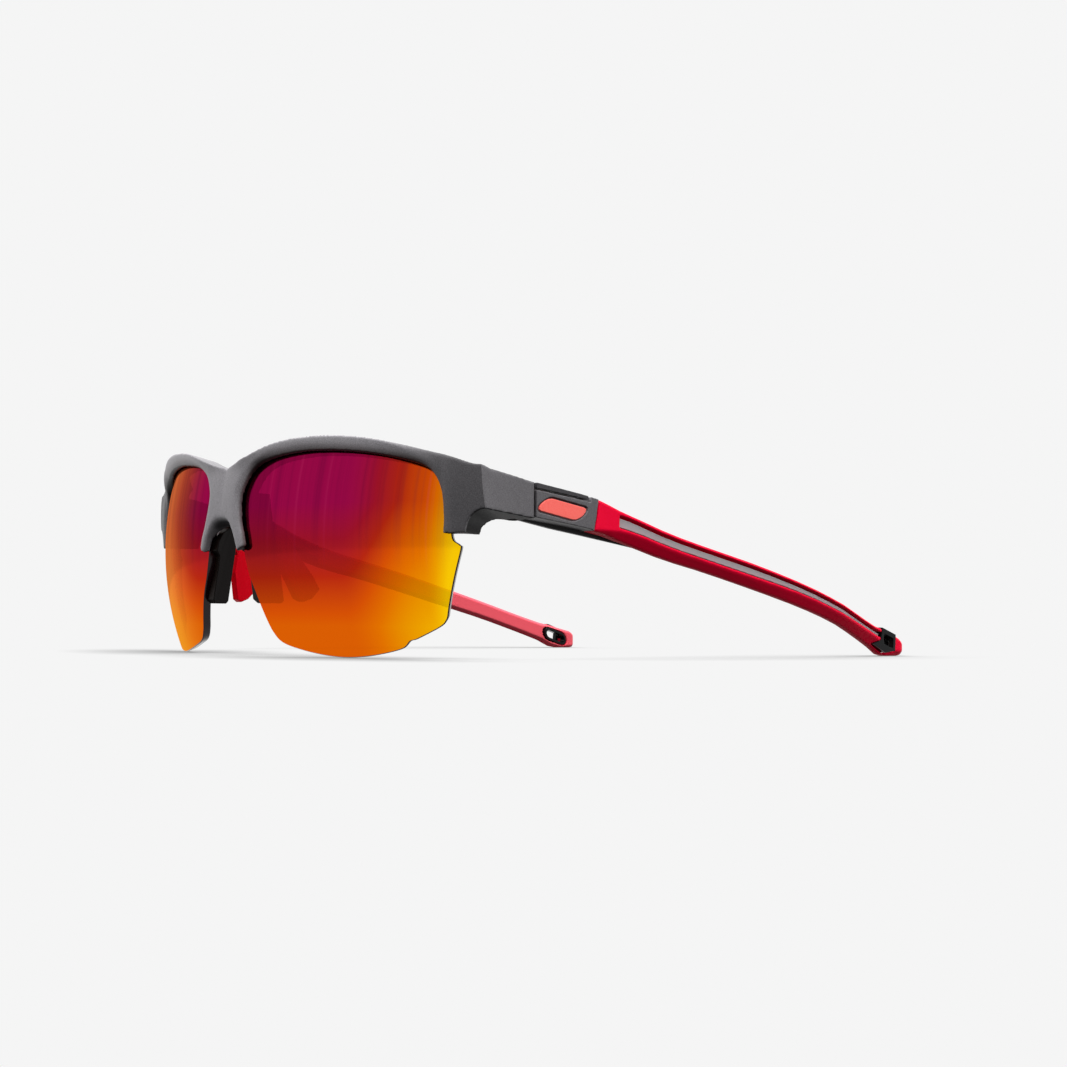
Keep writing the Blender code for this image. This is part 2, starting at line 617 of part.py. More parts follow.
def grown_outline(profile, grow):
    """The outline with each corner carried away from its middle by about grow."""
    middle_y = sum(y for y, _ in profile) / len(profile)
    middle_z = sum(z for _, z in profile) / len(profile)
    moved = []
    for y, z in profile:
        reach = math.hypot(y - middle_y, z - middle_z)
        share = 1 + 1.3 * grow / reach
        moved.append((middle_y + (y - middle_y) * share, middle_z + (z - middle_z) * share))
    return moved


def build_temple_sleeve(name, side):
    red = material("rubber_red", (0.72, 0.005, 0.02), 0.5)
    rings = [sleeve_ring(y) for y in SLEEVE_STATIONS_Y]
    rings += [sleeve_ring(y, shrink) for y, shrink in TIP_END]
    sleeve = mesh_object(f"temple_sleeve_{name}", loft(rings, side), red, hinge_origin(side))
    cut(sleeve, channel(TRENCH_FRONT_Y, TRENCH_REAR_Y, SLOT_SKIN, TRENCH_DEPTH, 0.0, side))
    cut(sleeve, channel(SLOT_FRONT_Y, SLOT_REAR_Y, -1.0, SLOT_SKIN + 0.2, SLOT_TRIM, side))
    block = grown_outline(TIP_BLOCK, GAP)
    cut(sleeve, side_prism(block, TIP_BLOCK_INNER_X - GAP, TIP_BLOCK_OUTER_X + 3.0, side))
    ring = stadium(TIP_RING_MIDDLE, TIP_RING_HALF_LENGTH, TIP_RING_HALF_HEIGHT, TIP_RING_SLOPE, grow=GAP)
    cut(sleeve, side_prism(ring, TIP_RING_INNER_X - 3.0, TIP_RING_OUTER_X + GAP, side))
    return sleeve


def block_ring(y, top, inner, lean=0.0):
    outer, low = temple(y, "outer"), temple(y, "low")
    return [(outer, y - lean, low), (outer, y, top), (inner, y, top), (inner, y - lean, low)]


def bar_ring(y):
    """The bar's section: it fills the slot except for a dark band along the slot's upper edge."""
    outer = temple(y, "outer")
    high, low = temple(y, "slot_top") - BAR_SINK, temple(y, "slot_low") + BAR_TRIM
    return [
        (outer - BAR_OUTER, y, low), (outer - BAR_OUTER, y, high),
        (outer - BAR_INNER, y, high), (outer - BAR_INNER, y, low),
    ]


def strip_height(y):
    share = (y - BLOCK_STATIONS_Y[0]) / (STRIP_REAR_Y - BLOCK_STATIONS_Y[0])
    return STRIP_HEIGHT_FRONT + share * (STRIP_HEIGHT_REAR - STRIP_HEIGHT_FRONT)


def block_inner(y):
    share = (y - BLOCK_STATIONS_Y[0]) / (BLOCK_REAR_Y - BLOCK_STATIONS_Y[0])
    return BLOCK_INNER_FRONT_X + share * (BLOCK_INNER_REAR_X - BLOCK_INNER_FRONT_X)


def badge_slab(grow, inner_depth, outer_depth, side):
    """The badge's outline between two depths behind the temple's outer face."""
    outline = stadium(BADGE_MIDDLE, BADGE_HALF_LENGTH, BADGE_HALF_HEIGHT, BADGE_SLOPE, BADGE_LEAN, grow)
    rings = []
    for depth in (inner_depth, outer_depth):
        rings.append([(temple(y, "outer") - depth, y, z) for y, z in outline])
    return loft(rings, side)


def build_temple_core(name, side):
    grey = material("frame_grey", (0.10, 0.095, 0.10), 0.5, 0.2)
    rings = [block_ring(y, temple(y, "top") - strip_height(y) - 0.1, block_inner(y)) for y in BLOCK_STATIONS_Y]
    for y, lean in ((BLOCK_STATIONS_Y[-1] + 0.15, 0.0), (BLOCK_REAR_Y, JOINT_LEAN)):
        rings.append(block_ring(y, temple(y, "top"), block_inner(y), lean))
    core = mesh_object(f"temple_core_{name}", loft(rings, side), grey, hinge_origin(side))
    join(core, loft([bar_ring(y) for y in stations_between(BLOCK_REAR_Y - 2.0, BAR_REAR_Y)], side))
    knuckle = circle((PIVOT_X, PIVOT_Y), KNUCKLE_RADIUS, 13, math.pi, math.pi)
    knuckle += [(PIVOT_X + KNUCKLE_RADIUS, 34.9), (PIVOT_X - 0.15, 34.9), (PIVOT_X - KNUCKLE_RADIUS, 33.6)]
    join(core, upright_prism(knuckle, KNUCKLE_LOW, KNUCKLE_HIGH, side))
    cut(core, upright_prism(circle((PIVOT_X, PIVOT_Y), HINGE_BORE_RADIUS), 25.0, 45.0, side))
    cut(core, badge_slab(BADGE_RIM, BADGE_SINK, -3.0, side))
    return core


def build_temple_strip(name, side):
    dark = material("trim_dark", (0.035, 0.035, 0.038), 0.45)
    rings = []
    for y in (BLOCK_STATIONS_Y[0], 41.0, 46.0, STRIP_REAR_Y - 0.6, STRIP_REAR_Y):
        top = temple(y, "top")
        shrink = 0.35 if y == STRIP_REAR_Y else 0.0
        low, high = top - strip_height(y) + GAP + shrink, top - shrink
        outer, inner = temple(y, "outer") - shrink, block_inner(y) + shrink
        rings.append([(outer, y, low), (outer, y, high), (inner, y, high), (inner, y, low)])
    return mesh_object(f"temple_top_strip_{name}", loft(rings, side), dark, hinge_origin(side))


def build_temple_badge(name, side):
    coral = material("badge_coral", (1.0, 0.16, 0.13), 0.4)
    slab = badge_slab(0.0, BADGE_SINK - 0.1, -0.05, side)
    return mesh_object(f"temple_badge_{name}", slab, coral, hinge_origin(side))


def build_hinge_cover(name, side):
    dark = material("trim_dark", (0.035, 0.035, 0.038), 0.45)
    rings = []
    for y, inner, outer, low, high in COVER_STATIONS:
        rings.append([
            (inner + 0.4, y, low), (outer, y, low), (outer, y, high), (inner + 0.4, y, high),
            (inner, y, high - 0.5), (inner, y, low + 0.5),
        ])
    return mesh_object(f"hinge_cover_{name}", loft(rings, side), dark, hinge_origin(side))


def build_tip_insert(name, side):
    black = material("tip_black", (0.01, 0.01, 0.01), 0.35)
    block = side_prism(TIP_BLOCK, TIP_BLOCK_INNER_X, TIP_BLOCK_OUTER_X, side)
    insert = mesh_object(f"tip_insert_{name}", block, black, hinge_origin(side))
    ring = stadium(TIP_RING_MIDDLE, TIP_RING_HALF_LENGTH, TIP_RING_HALF_HEIGHT, TIP_RING_SLOPE)
    join(insert, side_prism(ring, TIP_RING_INNER_X, TIP_RING_OUTER_X, side))
    inner_mouth = stadium(
        TIP_RING_MIDDLE, TIP_RING_HALF_LENGTH, TIP_RING_HALF_HEIGHT, TIP_RING_SLOPE, grow=-TIP_RING_WALL
    )
    cut(insert, side_prism(inner_mouth, TIP_RING_INNER_X - 1.0, TIP_RING_OUTER_X + 1.0, side))
    cut(insert, side_prism(TIP_WINDOW, TIP_BLOCK_INNER_X + 0.5, TIP_BLOCK_OUTER_X + 1.0, side))
    return insert


def build_core_wire(name, side):
    steel = material("steel", (0.55, 0.55, 0.57), 0.3, 1.0)
    wire = channel(WIRE_FRONT_Y, WIRE_REAR_Y, WIRE_OUTER, WIRE_INNER, 0.3, side)
    return mesh_object(f"core_wire_{name}", wire, steel, hinge_origin(side))


def build_hinge_screw(name, side):
    steel = material("steel", (0.55, 0.55, 0.57), 0.3, 1.0)
    middle = (PIVOT_X, PIVOT_Y)
    rings = []
    for radius, z in (
        (SCREW_RADIUS, SCREW_LOW), (SCREW_RADIUS, SCREW_SEAT),
        (SCREW_HEAD_RADIUS, SCREW_SEAT), (SCREW_HEAD_RADIUS, SCREW_TOP),
    ):
        rings.append([(x, y, z) for x, y in circle(middle, radius)])
    return mesh_object(f"hinge_screw_{name}", loft(rings, side), steel, hinge_origin(side))


def shade(obj):
    obj.data.shade_smooth()
    obj.data.set_sharp_from_angle(angle=math.radians(35))


def main():
    clear_scene()
    made = [build_front_frame(), build_nose_saddle()]
    for name, side in SIDES.items():
        for build in (
            build_lens, build_nose_pad, build_nose_stem, build_hinge_screw, build_temple_core,
            build_temple_sleeve, build_temple_strip, build_temple_badge, build_hinge_cover,
            build_tip_insert, build_core_wire,
        ):
            made.append(build(name, side))
    for obj in made:
        shade(obj)


main()
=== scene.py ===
"""Wraparound sport sunglasses: the visual model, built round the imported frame.

Shapes are worked in millimetres, from a working origin whose Y = 0 lies BROW_PROUD behind the front-most
point of the brow, and finish_piece turns them into metres in the frame. +X is the wearer's left, -Y is the
front and +Z is up.
"""

import json
import math

import bmesh
import bpy
from mathutils import Matrix, Vector

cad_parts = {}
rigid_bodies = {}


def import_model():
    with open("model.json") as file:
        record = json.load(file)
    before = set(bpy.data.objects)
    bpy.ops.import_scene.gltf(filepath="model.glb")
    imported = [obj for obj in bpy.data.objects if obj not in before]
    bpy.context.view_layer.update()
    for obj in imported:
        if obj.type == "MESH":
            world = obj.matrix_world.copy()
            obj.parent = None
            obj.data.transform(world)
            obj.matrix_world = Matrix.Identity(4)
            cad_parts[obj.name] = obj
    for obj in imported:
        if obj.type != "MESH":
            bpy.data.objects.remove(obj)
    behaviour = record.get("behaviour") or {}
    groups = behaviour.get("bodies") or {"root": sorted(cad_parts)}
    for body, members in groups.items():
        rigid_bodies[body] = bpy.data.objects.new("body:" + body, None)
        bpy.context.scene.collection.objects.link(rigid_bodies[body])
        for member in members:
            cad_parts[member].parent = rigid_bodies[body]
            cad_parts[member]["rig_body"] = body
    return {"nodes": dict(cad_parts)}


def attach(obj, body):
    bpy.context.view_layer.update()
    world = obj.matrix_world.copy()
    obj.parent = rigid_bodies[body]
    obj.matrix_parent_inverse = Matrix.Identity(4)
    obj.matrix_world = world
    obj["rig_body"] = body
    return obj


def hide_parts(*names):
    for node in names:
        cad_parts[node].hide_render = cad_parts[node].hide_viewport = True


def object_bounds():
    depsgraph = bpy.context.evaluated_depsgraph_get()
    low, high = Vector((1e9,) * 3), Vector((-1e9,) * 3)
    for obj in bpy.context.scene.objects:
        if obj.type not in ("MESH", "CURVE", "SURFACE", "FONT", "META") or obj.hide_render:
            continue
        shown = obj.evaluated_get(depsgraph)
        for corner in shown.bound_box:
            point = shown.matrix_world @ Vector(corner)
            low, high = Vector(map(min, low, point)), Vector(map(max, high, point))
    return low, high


MM = 0.001
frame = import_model()
CAD_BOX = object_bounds()
SIDES = {"left": 1, "right": -1}
BROW_PROUD = 4.6
SHIFT_Y = CAD_BOX[0][1] / MM + BROW_PROUD

# The lens: a spherical shell, one sphere for each eye.
LENS_RADIUS = 76.0
LENS_THICKNESS = 2.0
SPHERE_X, SPHERE_Y, SPHERE_Z = 9.6, 73.4, 26.8
LENS_MIDDLE = (35.0, 24.0)
LENS_OUTLINE = (
    (7.8, 23.6), (9.3, 18.6), (11.6, 14.0), (13.9, 8.6), (15.5, 5.4), (17.9, 3.1), (23.2, 1.6),
    (30.0, 0.4), (36.0, 0.0), (42.3, 0.6), (48.3, 2.1), (50.4, 3.8), (52.0, 4.4), (56.4, 6.9),
    (57.9, 8.5), (58.6, 10.6), (60.3, 17.0), (61.8, 23.4), (61.6, 24.5), (60.7, 25.4), (60.4, 26.8),
    (60.6, 28.2), (61.5, 29.6), (61.7, 32.0), (61.2, 36.0), (60.0, 39.6), (58.0, 42.1), (55.0, 43.7),
    (51.3, 44.6), (43.4, 46.3), (36.8, 47.0), (29.6, 47.3), (24.2, 47.1), (17.3, 46.2), (10.6, 44.6),
    (6.6, 41.4), (5.6, 37.6), (5.9, 34.0), (6.6, 30.8), (7.5, 28.0), (7.9, 25.6),
)
LENS_EDGE_CHAMFER = 0.22
LENS_RINGS, CUTTER_RINGS = 26, 2
LENS_STEPS, LENS_SHARP_ANGLE = 8, 30.0

# The front's curved plate, between the lens opening and the outer edge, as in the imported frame.
FRONT_RADIUS, FRONT_DEPTH = 78.0, 5.5
OPENING_EDGE = (
    (9.6, 25.1), (8.9, 27.6), (8.2, 29.3), (7.7, 30.8), (7.3, 32.4), (7.0, 33.8), (6.8, 35.6),
    (6.9, 37.6), (7.9, 39.9), (9.4, 41.9), (11.7, 43.5), (14.5, 44.5), (18.5, 45.3), (24.3, 45.9),
    (29.6, 46.1), (36.7, 45.8), (43.2, 45.1), (49.5, 43.9), (54.4, 42.6), (57.2, 41.2), (58.8, 39.3),
    (59.8, 36.8), (60.4, 33.6), (60.5, 30.5), (60.4, 25.5),
)
OUTER_EDGE = (
    (7.4, 23.9), (6.2, 26.7), (5.0, 28.4), (3.7, 29.6), (2.0, 30.2), (0.0, 30.3), (0.0, 34.0),
    (0.0, 38.0), (0.0, 41.0), (0.0, 43.1), (4.2, 44.3), (10.1, 45.9), (17.1, 47.8), (23.3, 48.7),
    (29.3, 49.0), (37.0, 48.9), (44.5, 48.0), (51.8, 46.3), (58.0, 44.5), (62.4, 43.2), (66.6, 41.8),
    (72.5, 40.4), (72.5, 35.0), (72.5, 30.5), (72.5, 25.0),
)
PRONG_DEPTHS = (2.1, 2.1, 2.6, 3.6, 4.8)
ARCH_ROUNDING = (0.5, 1.0, 1.6, 2.3, 2.9, 3.1)
# The rungs, counted along the two edges, whose outer side isn't rounded: the bridge's middle and the far end.
SQUARE_RUNGS = (4, 5, 6, 7, 8, 21, 22, 23, 24)
PLATE_STEPS, PLATE_RUNG_STEPS = 14, 6
MIDDLE_OVERLAP = 0.4
FLARE_X, FLARE_TOP_Z, FLARE_TOP_SLOPE, FLARE_TWIST = 60.0, 41.0, 0.242, 0.0204
# The blocks at the two ends, with the hinge ears.
END_PLAN = ((60.4, 18.6), (75.0, 22.5), (75.0, 33.0), (61.25, 33.0), (61.25, 28.0), (59.9, 23.5))
END_REAR_Y = 33.0
END_TOP_Z, END_TOP_Y, END_TOP_SLOPE = 41.1, 17.7, 0.176
CREASE, CREASE_LEAN, SIDE_REAR_X = (68.9, 18.0), 0.1, 68.6
SIDE_LEVELS = (20.0, 27.0, 31.0, 35.0, 39.0, 43.0, 50.0)
LUG_BOTTOM_Z, LUG_SPARE = 27.0, 1.3
ARCH_ACROSS, ARCH_RUN = (0.851, 0.525), (-0.525, 0.851)
ARCH_START, ARCH_WIDTH = 64.2, 4.4
ARCH_HEIGHTS = ((-32.0, 6.2), (8.0, 1.8))
PIVOT, KNUCKLE_SPAN, KNUCKLE_RADIUS, EAR_RADIUS = (63.3, 30.95), (32.8, 36.2), 2.2, 2.12
HINGE_BORE_RADIUS, SCREW_HEAD_RADIUS, SCREW_SEAT = 1.0, 1.25, 37.8
EAR_INNER_X, EAR_REAR_Y = 57.0, 38.0
PEG_HALF_WIDTH, PEG_SPAN, PEG_FRONT = 1.4, (33.4, 35.8), -0.9
# How the front face falls away towards the lens and towards the outer edge: width of the fall, and its depth.
LENS_SIDE_FALL, OUTER_SIDE_FALL = (1.9, 0.75), (1.0, 0.25)
# The brow bar stands this much further forward at its top than the sphere does: the lean grows over the
# heights, starts at the bridge, holds for the bar's whole width in the side span, and ends before the corner.
BROW_LEAN, BROW_LEAN_HEIGHTS = 1.5, (30.0, 43.0)
BROW_LEAN_START, BROW_LEAN_SIDE, BROW_LEAN_END = (0.0, 7.0), (48.0, 60.0), (61.0, 68.0)
GAP = 0.3
# Cutters reach at least to these planes, which lie well outside the front.
BELOW, ABOVE, BEHIND, OUTSIDE = 12.0, 50.0, 45.0, 95.0
FRONT_VOXEL, FRONT_PASSES = 0.3, 2

# Camera: it stands level with the lens bottoms, in front and to the wearer's left.
CAMERA_PLACE = (350.7, -209.3, 8.6)
CAMERA_AZIMUTH, CAMERA_PITCH, CAMERA_ROLL = 49.39, 2.88, 0.46
CAMERA_LENS = 58.23

# Light levels: the sky at the horizon and overhead, and what the floor gives back.
SKY_BAND = (0.5, 0.85)
SKY_DIFFUSE, SKY_GLOSSY = (1.0, 3.4), (1.15, 3.0)
FLOOR_DIFFUSE, FLOOR_GLOSSY = 0.1, 1.15
PALE_GREY = 245
FLOOR_RADIUS = 900.0
# The floor's painted shadow: its grey by how open it is to the sky, within reach of what stands on it.
FLOOR_REACH, FLOOR_SAMPLES = 30.0, 24
FLOOR_SHADOW_GREYS = ((0.0, 90), (0.5, 176), (0.8, 216), (0.93, 236), (1.0, PALE_GREY))
KEY_PLACE, KEY_AIM, KEY_SIZE, KEY_POWER = (-300.0, -500.0, 520.0), (0.0, 60.0, 25.0), (500.0, 400.0), 3.0


# ---------------------------------------------------------------- mesh helpers


def object_from(name, bm, scale=1.0):
    mesh = bpy.data.meshes.new(name)
    if scale != 1.0:
        bmesh.ops.scale(bm, vec=(scale, scale, scale), verts=bm.verts)
    bm.to_mesh(mesh)
    bm.free()
    obj = bpy.data.objects.new(name, mesh)
    bpy.context.scene.collection.objects.link(obj)
    return obj


def skin(bm, rungs):
    """Skins closed rows of vertices one to the next and closes both ends."""
    for low, high in zip(rungs, rungs[1:]):
        for i in range(len(low)):
            j = (i + 1) % len(low)
            bm.faces.new((low[i], low[j], high[j], high[i]))
    bm.faces.new(rungs[0])
    bm.faces.new(rungs[-1])
    bmesh.ops.recalc_face_normals(bm, faces=bm.faces)


def loft(rings):
    bm = bmesh.new()
    skin(bm, [[bm.verts.new(point) for point in ring] for ring in rings])
    return bm


def arc(middle, radius, count, start, sweep):
    angles = [start + sweep * i / (count - 1) for i in range(count)]
    return [(middle[0] + radius * math.cos(a), middle[1] + radius * math.sin(a)) for a in angles]


def boolean(obj, bm, operation="DIFFERENCE"):
    other = object_from("tool", bm)
    modifier = obj.modifiers.new("boolean", "BOOLEAN")
    modifier.operation = operation
    modifier.object = other
    apply_modifiers(obj)
    bpy.data.objects.remove(other)


def apply_modifiers(obj):
    bpy.context.view_layer.update()
    evaluated = obj.evaluated_get(bpy.context.evaluated_depsgraph_get())
    result = bpy.data.meshes.new_from_object(evaluated)
    obj.modifiers.clear()
    obj.data = result
    result.name = obj.name


def soften(obj, voxel, passes):
    """Remeshes an object that is in millimetres evenly, then rounds its edges the way a mould does."""
    remesh = obj.modifiers.new("even", "REMESH")
    remesh.mode = "VOXEL"
    remesh.voxel_size = voxel
    remesh.use_smooth_shade = True
    smooth = obj.modifiers.new("round", "SMOOTH")
    smooth.factor = 0.5
    smooth.iterations = passes
    apply_modifiers(obj)


def finish_piece(obj, surface, body, nodes, slot):
    obj.data.transform(Matrix.Scale(MM, 4) @ Matrix.Translation((0.0, SHIFT_Y, 0.0)))
    obj.data.materials.clear()
    for one in surface if isinstance(surface, tuple) else (surface,):
        obj.data.materials.append(one)
    obj.data.shade_smooth()
    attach(obj, body)
    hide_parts(*nodes)
    return obj


def copy_of_node(node, name):
    """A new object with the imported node's mesh, in working millimetres."""
    bm = bmesh.new()
    bm.from_mesh(frame["nodes"][node].data)
    bmesh.ops.remove_doubles(bm, verts=bm.verts, dist=1e-7)
    obj = object_from(name, bm, 1 / MM)
    obj.data.transform(Matrix.Translation((0.0, -SHIFT_Y, 0.0)))
    return obj


def softened_node(node, name, voxel, passes, surface, slot):
    obj = copy_of_node(node, name)
    soften(obj, voxel, passes)
    return finish_piece(obj, surface, frame["nodes"][node]["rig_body"], [node], slot)


def catmull_rom(p, q, r, s, t):
    """One coordinate of the curve at the share t between q and r."""
    bend = (2 * p - 5 * q + 4 * r - s) * t**2
    twist = (3 * q - p - 3 * r + s) * t**3
    return 0.5 * (2 * q + (r - p) * t + bend + twist)


def spline(points, steps, closed=True):
    """A Catmull-Rom curve through the points."""
    count = len(points)
    curve = []
    for i in range(count if closed else count - 1):
        if closed:
            around = [points[(i + k) % count] for k in (-1, 0, 1, 2)]
        else:
            around = [points[min(max(i + k, 0), count - 1)] for k in (-1, 0, 1, 2)]
        for step in range(steps):
            curve.append(tuple(catmull_rom(*four, step / steps) for four in zip(*around)))
    if not closed:
        curve.append(tuple(points[-1]))
    return curve


# ---------------------------------------------------------------- node helpers


class Nodes:
    """A short way to write a material's node tree."""

    def __init__(self, name):
        self.material = bpy.data.materials.new(name)
        self.material.use_nodes = True
        self.tree = self.material.node_tree
        self.tree.nodes.clear()
        self.output = self.tree.nodes.new("ShaderNodeOutputMaterial")

    def add(self, kind, inputs=None, **settings):
        node = self.tree.nodes.new("ShaderNode" + kind)
        for key, value in settings.items():
            setattr(node, key, value)
        for key, value in (inputs or {}).items():
            self.put(node.inputs[key], value)
        return node

    def put(self, socket, value):
        if isinstance(value, bpy.types.NodeSocket):
            self.tree.links.new(value, socket)
        else:
            socket.default_value = value

    def math(self, operation, first, second=0.0, third=0.0, clamp=False):
        node = self.add("Math", {0: first, 1: second, 2: third}, operation=operation, use_clamp=clamp)
        return node.outputs[0]

    def times(self, first, second):
        return self.math("MULTIPLY", first, second)

    def band(self, value, low, high, out_low=0.0, out_high=1.0, kind="SMOOTHSTEP"):
        """A step from out_low at low to out_high at high."""
        spans = {"From Min": low, "From Max": high, "To Min": out_low, "To Max": out_high}
        return self.add("MapRange", {"Value": value, **spans}, interpolation_type=kind).outputs["Result"]

    def vector(self, node, output):
        """The three parts of a vector that an input node gives."""
        return self.add("SeparateXYZ", {0: self.add(node).outputs[output]}).outputs

    def place(self):
        """The point's X, Y and Z in millimetres, in the frame at rest."""
        return [self.times(part, 1 / MM) for part in self.vector("TexCoord", "Object")]

    def noise(self, size, detail=3.0, roughness=0.5):
        """Noise whose features are about size millimetres."""
        inputs = {"Vector": self.add("TexCoord").outputs["Object"], "Scale": 1 / (size * MM)}
        return self.add("TexNoise", {**inputs, "Detail": detail, "Roughness": roughness}).outputs["Fac"]

    def ramp(self, factor, stops):
        node = self.add("ValToRGB", {"Fac": factor})
        elements = node.color_ramp.elements
        while len(elements) < len(stops):
            elements.new(0.5)
        for element, (place, colour) in zip(elements, stops):
            element.position = place
            element.color = (*colour, 1.0)
        return node.outputs["Color"]

    def mix(self, factor, first, second, clamp=True):
        node = self.add("Mix", data_type="RGBA", blend_type="MIX", clamp_factor=clamp)
        self.put(node.inputs[0], factor)
        for socket, value in ((node.inputs[6], first), (node.inputs[7], second)):
            self.put(socket, (*value, 1.0) if isinstance(value, tuple) and len(value) == 3 else value)
        return node.outputs[2]

    def bump(self, height, distance):
        """Distance in millimetres."""
        return self.add("Bump", {"Height": height, "Distance": distance * MM}).outputs[0]

    def principled(self, **inputs):
        named = {key.replace("_", " "): value for key, value in inputs.items()}
        return self.add("BsdfPrincipled", named).outputs[0]

    def one_sided(self, shader):
        """The shader from outside, and nothing at all from inside the piece."""
        inside = self.add("NewGeometry").outputs["Backfacing"]
        clear = self.add("BsdfTransparent").outputs[0]
        return self.add("MixShader", {0: inside, 1: shader, 2: clear}).outputs[0]

    def finish(self, shader):
        self.tree.links.new(shader, self.output.inputs[0])
        return self.material


def linear(value):
    share = value / 255
    return ((share + 0.055) / 1.055) ** 2.4 if value > 10 else share / 12.92


def srgb(red, green, blue):
    """Linear values of a colour given as 0 to 255."""
    return tuple(linear(value) for value in (red, green, blue))


# ---------------------------------------------------------------- materials

# What is lit through a lens shows at this share of its tone.
BEHIND_LENS = 0.22
# The noise values between which the grain goes from dark to light, and the blotches' size and strength.
GRAIN_BAND, BLOTCH_SIZE, BLOTCH_SHARE = (0.3, 0.7), 9.0, 0.18
# The parts of the normal between which a face counts as turned up, back or sideways, for the painted
# shade and highlight, or towards the head, for the inner colour.
TOP_BAND, BACK_BAND, FLANK_BAND, INNER_BAND = (0.0, 0.7), (0.15, 0.5), (0.7, 0.92), (0.2, 0.7)
# In millimetres: where the front is painted darker towards its ends, where the brow's painted highlight
# starts, and the temple joint.
ENDS_SPAN, BROW_SPAN, JOINT_SPAN = (38.0, 64.0), (9.0, 20.0), (50.5, 52.0)
# The mirror: the share of light it lets through, where edge on starts, and how much less gets through there.
LENS_SEE_THROUGH, GRAZING_BAND, GRAZING_LOSS = 0.31, (0.47, 0.1), 0.8
# Painted reflections on the mirror: how closely the vertical streaks lie across it, and the heights where
# they show.
REFLECTION_STREAK_RATE, REFLECTION_STREAK_HEIGHTS = 0.33, (16.0, 36.0)
MIRROR_PALE = srgb(235, 165, 115)
MIRROR_HUES = (
    (0.0, srgb(154, 10, 70)), (0.15, srgb(160, 20, 40)), (0.3, srgb(178, 38, 16)),
    (0.45, srgb(207, 78, 5)), (0.6, srgb(219, 110, 0)), (0.8, srgb(228, 152, 0)), (1.0, srgb(240, 192, 4)),
)


def painted_shading(n, under=0.3, low=-0.6, level=0.15, top=1.15, flank=1.0, back=1.0, ends=1.0, brow=1.0):
    """Painted shade and highlight: how light a surface is painted by the way it faces, under from low
    down, 1 at level, top on faces that look up, flank on those that look sideways and back on those that
    look back. What isn't a flank is brow times as light away from the bridge, and ends times towards the
    two ends."""
    sideways, backward, upward = n.vector("NewGeometry", "Normal")
    tone = n.times(n.band(upward, low, level, under, 1.0), n.band(upward, *TOP_BAND, 1.0, top))
    tone = n.times(tone, n.band(backward, *BACK_BAND, 1.0, back))
    side_share = n.band(n.math("ABSOLUTE", sideways), *FLANK_BAND)
    across = n.math("ABSOLUTE", n.place()[0])
    along = n.times(n.band(across, *ENDS_SPAN, 1.0, ends), n.band(across, *BROW_SPAN, 1.0, brow))
    kept = n.times(along, n.math("SUBTRACT", 1.0, side_share))
    return n.times(tone, n.math("ADD", kept, n.times(side_share, flank)))


def grain_and_painted_light(
    name, dark, light, roughness, grain=0.22, depth=0.012, shine=0.12, painted_glow=0.0, metallic=0.0,
    shade_colour=(0.0, 0.0, 0.0), inner=None, rear=None, **tones
):
    """A moulded surface with a fine grain, and painted light. It fades to a painted shade colour where its
    painted tone is low and grows lighter where that tone is above 1. Faces towards the wearer's head take
    the colour inner, what lies behind the temple joint takes rear, and anything seen through a lens is
    painted dimmer. A glow gives it a painted light of its own colour."""
    n = Nodes(name)
    fine = n.noise(grain)
    colour = n.mix(n.band(fine, *GRAIN_BAND), dark, light)
    colour = n.mix(n.times(n.noise(BLOTCH_SIZE, 2.0), BLOTCH_SHARE), colour, dark)
    x, y, _ = n.place()
    if inner:
        sideways = n.vector("NewGeometry", "Normal")[0]
        inward = n.times(n.math("SIGN", x), n.times(sideways, -1.0))
        colour = n.mix(n.band(inward, *INNER_BAND), colour, inner)
    if rear:
        joint_front, joint_rear = JOINT_SPAN
        colour = n.mix(n.band(y, SHIFT_Y + joint_front, SHIFT_Y + joint_rear), colour, rear)
    behind = n.band(n.add("LightPath").outputs["Transparent Depth"], 0.0, 1.0, 1.0, BEHIND_LENS)
    shade = n.times(painted_shading(n, **tones), behind)
    colour = n.mix(shade, shade_colour, colour, clamp=False)
    return n.finish(n.principled(
        Base_Color=colour, Roughness=n.math("ADD", roughness - 0.05, n.times(fine, 0.1)),
        Normal=n.bump(fine, depth), Specular_IOR_Level=n.times(shine, shade), Metallic=metallic,
        Emission_Color=colour, Emission_Strength=painted_glow,
    ))


def grazing_share(n):
    """0 where the surface is seen square on, 1 where it is seen almost edge on."""
    outputs = n.add("NewGeometry").outputs
    seen = {0: outputs["Incoming"], 1: outputs["Normal"]}
    facing = n.add("VectorMath", seen, operation="DOT_PRODUCT").outputs["Value"]
    return n.band(facing, *GRAZING_BAND)


def mirror_colour(n):
    """The coating's hue: magenta high on the nose side, then red, orange and yellow towards the rim."""
    x, _, z = n.place()
    across = n.math("ABSOLUTE", x)
    rim = n.math("ADD", n.band(across, 38.0, 58.5, 0.0, 0.46), n.band(across, 55.0, 62.0, 0.0, 0.47))
    below = n.band(z, 34.0, 7.0, 0.0, 0.5, "LINEAR")
    both = n.times(rim, n.times(below, -0.35))
    hue = n.math("ADD", n.math("ADD", rim, below), both)
    grazing = grazing_share(n)
    left = n.math("SUBTRACT", 1.0, hue)
    hue = n.math("ADD", hue, n.times(n.times(grazing, 0.45), left), clamp=True)
    pale = n.times(grazing, n.band(z, 0.0, 22.0, 0.08, 0.22))
    return n.mix(pale, n.ramp(hue, MIRROR_HUES), MIRROR_PALE)


